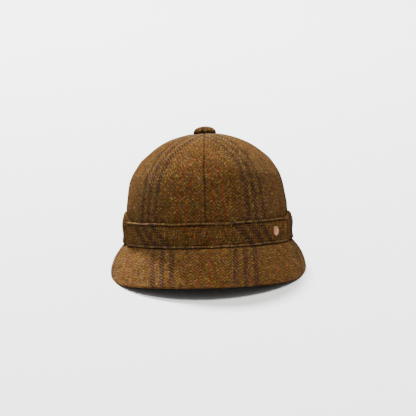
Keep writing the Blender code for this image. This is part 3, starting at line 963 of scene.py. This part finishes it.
def flap_section(turn):
    """The folded flap's top, how far it is thinned for its tuck, and its closed outline.

    The outline runs out along the fold at the rim, up the outer face and down the inner one.
    """
    turned = np.minimum(turn, 360 - turn)
    thin = 1 - smooth_share(turned - BAND_END, *THIN_OVER)
    rise = smooth_share(turned, FLAP_FROM, BAND_END + RISEN_AT)
    thick = FLAP_THICKNESS + thin * (FLAP_TUCK_THICKNESS - FLAP_THICKNESS)
    top = FLAP_HEIGHT - FLAP_SLANT * np.sin(np.radians(turn)) - FLAP_TUCK_DROP * (1 - rise)
    lean, fold = FLAP_LEAN * (1 - thin), FLAP_FOLD * (1 - thin)
    base, sewn = FREE_GAP + 0 * turn, -FLAP_WALL + 0 * turn
    face = base + thick
    return top, thin, np.stack([np.stack(pair, -1) for pair in (
        (sewn, FLAP_LIP * 0.4 + 0 * turn),
        (sewn + FLAP_WALL_TURN, 0 * turn),
        ((face + sewn) / 2, 0 * turn),
        (face + fold - thick * 0.45, 0 * turn),
        (face + fold, top * 0.05),
        (face + fold * 0.75, top * 0.15),
        (face + fold * 0.25, top * 0.27),
        (face + lean * 0.7, top * 0.46),
        (face + lean, top * 0.62),
        (face + lean * 0.45, top * 0.79),
        (face - lean * 0.15, top * 0.90),
        (face - thick * 0.32, top * 0.985),
        (base + thick * 0.22, top * 1.015),
        (base + thick * 0.02, top * 0.94),
        (base + lean * 0.3, top * 0.84),
        (base + lean * 0.8, top * 0.62),
        (base + lean * 0.5, top * 0.46),
        (base, top * 0.24),
        (base, FLAP_LIP + 0 * turn),
        (sewn + FLAP_WALL_TURN, FLAP_LIP + 0 * turn),
    )], 1)


def make_flap():
    mesh, u, v = tube_grid(FLAP_COLUMNS, FLAP_ROWS)
    turn = FLAP_FROM + (360 - 2 * FLAP_FROM) * u
    top, thin, knots = flap_section(turn)
    section = closed_curve(knots, v)
    out, height = section[:, 0], section[:, 1]
    outer = (v > FLAP_OUTER[0]) & (v < FLAP_OUTER[1])
    groove = mound(height, top - STITCH_DOWN, STITCH_WIDTH) * outer * (1 - thin)
    out = out - groove * STITCH_DEPTH
    points = level_point(turn, out, height)
    loose = smooth_share(height, *FLAP_LOOSE) * (1 - thin)
    soft = unevenness(points, *FLAP_WIDE) + unevenness(points, *FLAP_CLOSE)
    points = pushed_out(points, np.maximum(soft * loose, FLAP_INWARD))
    points[:, 2] += unevenness(points, *FLAP_WAVY) * loose

    # The cloth lines start at the back, and go on round the fold and down the inner face.
    around = np.where(turn > 180, turn - 360, turn)
    from_back = (rim_length(180.0) - rim_length(np.abs(around))) * np.sign(around)
    under = (out.max() - out) * smooth_share(height, FOLD_TURN, 0.0)
    up = np.where(v < FLAP_OUTER[1], height - under, 2 * top - height)
    # The stitch groove is darkened as painted shade.
    flap = finish_piece(mesh, "flap_cloth", on_table(points), np.stack([from_back, up], -1),
                        groove * STITCH_SHADE,
                        tweed("flap_tweed", across=30.0, brightness=0.95))
    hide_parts("ear_flap")


make_flap()


# Button. A domed mould covered in tweed drawn in underneath, sewn on where the four gores meet.

BUTTON_RADIUS = 0.0119
BUTTON_HEIGHT = 0.0070
BUTTON_COLUMNS = 96
BUTTON_ROWS = 40
BUTTON_TOP = 0.99

# The cloth is gathered round its lower edge, drawn in underneath, and lumpy on the top. Its lower
# side has painted shade, and its top a painted highlight.
GATHERS = 16
GATHER_DEPTH = 0.018
GATHERED_UP = (0.62, 0.10)
GATHERED_OUT = 0.7
DRAWN_IN = 0.35
LUMPS = (0.012, 51, 0.00025)
LUMPS_UP = (0.3, 0.9)
UNDER_SHADE = 0.55
UNDER_UP = (0.52, -0.12)
BUTTON_TOP_HIGHLIGHT = 0.30
TOP_UP = (0.60, 1.0)

# The button's outline from its middle underneath to its top: out and up, as shares of its size.
BUTTON_OUTLINE = np.array((
    (0.00, -0.060),
    (0.55, -0.080),
    (0.94, -0.170),
    (0.995, -0.110),
    (1.000, 0.030),
    (0.970, 0.230),
    (0.890, 0.460),
    (0.740, 0.690),
    (0.520, 0.870),
    (0.280, 0.968),
    (0.00, 1.000),
))


def turned_outline(outline, share):
    """Points along a half outline, spaced evenly, for a piece that is round about its own axis."""
    length = np.concatenate([[0.0], np.cumsum(np.linalg.norm(np.diff(outline, axis=0), axis=1))])
    at = share * length[-1]
    return curve_through(length, outline[:, 0], at), curve_through(length, outline[:, 1], at)


def make_button():
    mesh, u, v = tube_grid(BUTTON_COLUMNS, BUTTON_ROWS)
    out, up = turned_outline(BUTTON_OUTLINE, v)
    angle = u * math.tau
    gathers = np.sin(angle * GATHERS + 0.8 * np.sin(angle * 3)) * smooth_share(up, *GATHERED_UP)
    radius = out * BUTTON_RADIUS * (1 + GATHER_DEPTH * gathers * (out > GATHERED_OUT))
    radius[(v < CLOSE) | (up > BUTTON_TOP)] = 0.0
    x, y = radius * np.cos(angle), radius * np.sin(angle)
    lumps = unevenness(np.stack([x, y, up * BUTTON_HEIGHT], -1), *LUMPS)
    lumps = lumps * smooth_share(up, *LUMPS_UP)
    lumps[up > BUTTON_TOP] = 0.0
    height = CROWN_HEIGHT + FREE_GAP + up * BUTTON_HEIGHT + lumps
    points = np.stack([x, y + CROWN_SHIFT, height], -1)
    cloth = np.stack([x, y], -1) * (1 + DRAWN_IN * (1 - up))[:, None]
    # Painted shade on the button's lower side, and a painted highlight on its top.
    shade = UNDER_SHADE * smooth_share(up, *UNDER_UP) - BUTTON_TOP_HIGHLIGHT * smooth_share(up, *TOP_UP)
    button = finish_piece(mesh, "button_cloth", on_table(points), cloth, shade,
                          tweed("button_tweed", across=22.0, turn=20.0))
    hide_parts("crown_button")


make_button()


# Stud. A plain disc of rose-gold plate with a softened rim, riveted through the band.

STUD_RADIUS = 0.00500
STUD_THICKNESS = 0.0015
STUD_AT = 52.5
STUD_HEIGHT = 0.0125
STUD_COLUMNS = 96
STUD_ROWS = 30
STUD_GAP = 0.0005

# The plate's colour, the share of it that tarnish leaves, and how fine the tarnish and the
# scratches are, as noise per metre.
ROSE_PLATE = (0.255, 0.104, 0.051)
TARNISHED = 0.80
TARNISH = 220.0
SCRATCHES = 900.0
SCRATCH_BUMP = 0.14
SCRATCH_DEPTH = 0.0001
PLATE_ROUGHNESS = (0.46, 0.62)

# The stud's outline from the middle of its back to the middle of its face, as shares of its size.
STUD_OUTLINE = np.array((
    (0.00, 0.00),
    (0.90, 0.00),
    (0.975, 0.10),
    (1.00, 0.30),
    (0.985, 0.52),
    (0.93, 0.68),
    (0.86, 0.715),
    (0.80, 0.74),
    (0.55, 0.88),
    (0.00, 1.00),
))


def stud_metal():
    made = bpy.data.materials.new("rose_gold_plate")
    made.use_nodes = True
    w = Wiring(made.node_tree)
    shader = made.node_tree.nodes["Principled BSDF"]
    place = w.node("ShaderNodeTexCoord").outputs["Object"]
    scratches = w.noise(place, SCRATCHES, 3.0)
    tarnish = w.span(w.noise(place, TARNISH, 2.0), 0.35, 0.70)
    dull = (*(TARNISHED * part for part in ROSE_PLATE), 1.0)
    w.join(w.mix(tarnish, (*ROSE_PLATE, 1.0), dull), shader.inputs["Base Color"])
    w.join(w.span(scratches, 0.3, 0.7, *PLATE_ROUGHNESS, "LINEAR"), shader.inputs["Roughness"])
    shader.inputs["Metallic"].default_value = 1.0
    bump = w.node("ShaderNodeBump")
    bump.inputs["Strength"].default_value = SCRATCH_BUMP
    bump.inputs["Distance"].default_value = SCRATCH_DEPTH
    w.join(scratches, bump.inputs["Height"])
    w.join(bump.outputs["Normal"], shader.inputs["Normal"])
    return made


def make_stud():
    mesh, u, v = tube_grid(STUD_COLUMNS, STUD_ROWS)
    out, up = turned_outline(STUD_OUTLINE, v)
    out[(v < CLOSE) | (v > 1 - CLOSE)] = 0.0
    at, height = np.array([STUD_AT]), np.array([STUD_HEIGHT])
    base = band_base(at) + BAND_THICKNESS + STUD_GAP
    centre = level_point(at, base, height)[0]
    ahead = level_point(at, base + STUD_RADIUS, height)[0] - centre
    turned = np.array(Vector(ahead).to_track_quat("Z", "Y").to_matrix())
    angle, radius = u * math.tau, out * STUD_RADIUS
    local = np.stack([radius * np.cos(angle), radius * np.sin(angle), up * STUD_THICKNESS], -1)
    points = on_table(local @ turned.T + centre)
    stud = finish_piece(mesh, "stud_plate", points, local[:, :2], 0 * up, stud_metal())
    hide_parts("band_stud")


make_stud()


# Table, light and camera. The cap stands on a plain pale table under soft studio light.

CAMERA_AT = (0.0326, -1.6997, 0.1160)
CAMERA_AIM = (0.0, 0.0, 0.0347)
CAMERA_ROLL = math.radians(1.8)
FOCAL_PIXELS = 1619.0
PICTURE = 416.0
SENSOR = 36.0
LIGHT_AIM = (0.0, 0.0, 0.06)
TABLE_HALF = 6.0
TABLE_GREY = (0.46, 0.46, 0.46, 1.0)
TABLE_ROUGHNESS = 0.85
ROOM_LIGHT = 0.72

# Where each light stands, how wide it is, its power and its colour.
LIGHTS = {
    "back": ((-0.74, 2.60, 3.15), 0.65, 1190.0, (0.97, 0.99, 1.0)),
    "overhead": ((0.2, -0.3, 4.1), 2.0, 390.0, (1.0, 0.98, 0.95)),
}


def make_table():
    mesh = bmesh.new()
    bmesh.ops.create_grid(mesh, x_segments=8, y_segments=8, size=TABLE_HALF)
    data = bpy.data.meshes.new("table_top")
    mesh.to_mesh(data)
    mesh.free()
    made = bpy.data.materials.new("pale_table")
    made.use_nodes = True
    shader = made.node_tree.nodes["Principled BSDF"]
    shader.inputs["Base Color"].default_value = TABLE_GREY
    shader.inputs["Roughness"].default_value = TABLE_ROUGHNESS
    data.materials.append(made)
    table = bpy.data.objects.new("table_top", data)
    bpy.context.scene.collection.objects.link(table)


def make_light(name, at, size, power, colour):
    data = bpy.data.lights.new(name, "AREA")
    data.shape = "DISK"
    data.size = size
    data.energy = power
    data.color = colour
    lamp = bpy.data.objects.new(name, data)
    lamp.location = at
    ahead = Vector(LIGHT_AIM) - Vector(at)
    lamp.rotation_euler = ahead.to_track_quat("-Z", "Y").to_euler()
    bpy.context.scene.collection.objects.link(lamp)


def make_room():
    world = bpy.data.worlds.new("studio")
    world.use_nodes = True
    background = world.node_tree.nodes["Background"].inputs
    background["Color"].default_value = (1.0, 1.0, 1.0, 1.0)
    background["Strength"].default_value = ROOM_LIGHT
    bpy.context.scene.world = world


def make_camera():
    """The photograph's view, given in the cap's own frame and tipped back with it."""
    tip = Matrix.Rotation(-PITCH, 3, "X")
    lift = Vector((0, FRAME_SHIFT, REST_BACK * math.sin(PITCH)))
    at = tip @ Vector(CAMERA_AT) + lift
    aim = tip @ Vector(CAMERA_AIM) + lift
    ahead = (aim - at).normalized()
    upright = tip @ Vector((0, 0, 1))
    right = ahead.cross(upright).normalized()
    above = right.cross(ahead)
    turned_right = right * math.cos(CAMERA_ROLL) - above * math.sin(CAMERA_ROLL)
    turned_above = above * math.cos(CAMERA_ROLL) + right * math.sin(CAMERA_ROLL)
    data = bpy.data.cameras.new("camera")
    data.sensor_width = SENSOR
    data.lens = FOCAL_PIXELS / PICTURE * SENSOR
    data.shift_x = 1.0 / PICTURE
    data.clip_end = 50.0
    camera = bpy.data.objects.new("camera", data)
    turn = Matrix((turned_right, turned_above, -ahead)).transposed()
    camera.matrix_world = Matrix.Translation(at) @ turn.to_4x4()
    bpy.context.scene.collection.objects.link(camera)
    bpy.context.scene.camera = camera


make_table()
for lamp_name, settings in LIGHTS.items():
    make_light(lamp_name, *settings)
make_room()
make_camera()

bpy.context.view_layer.update()
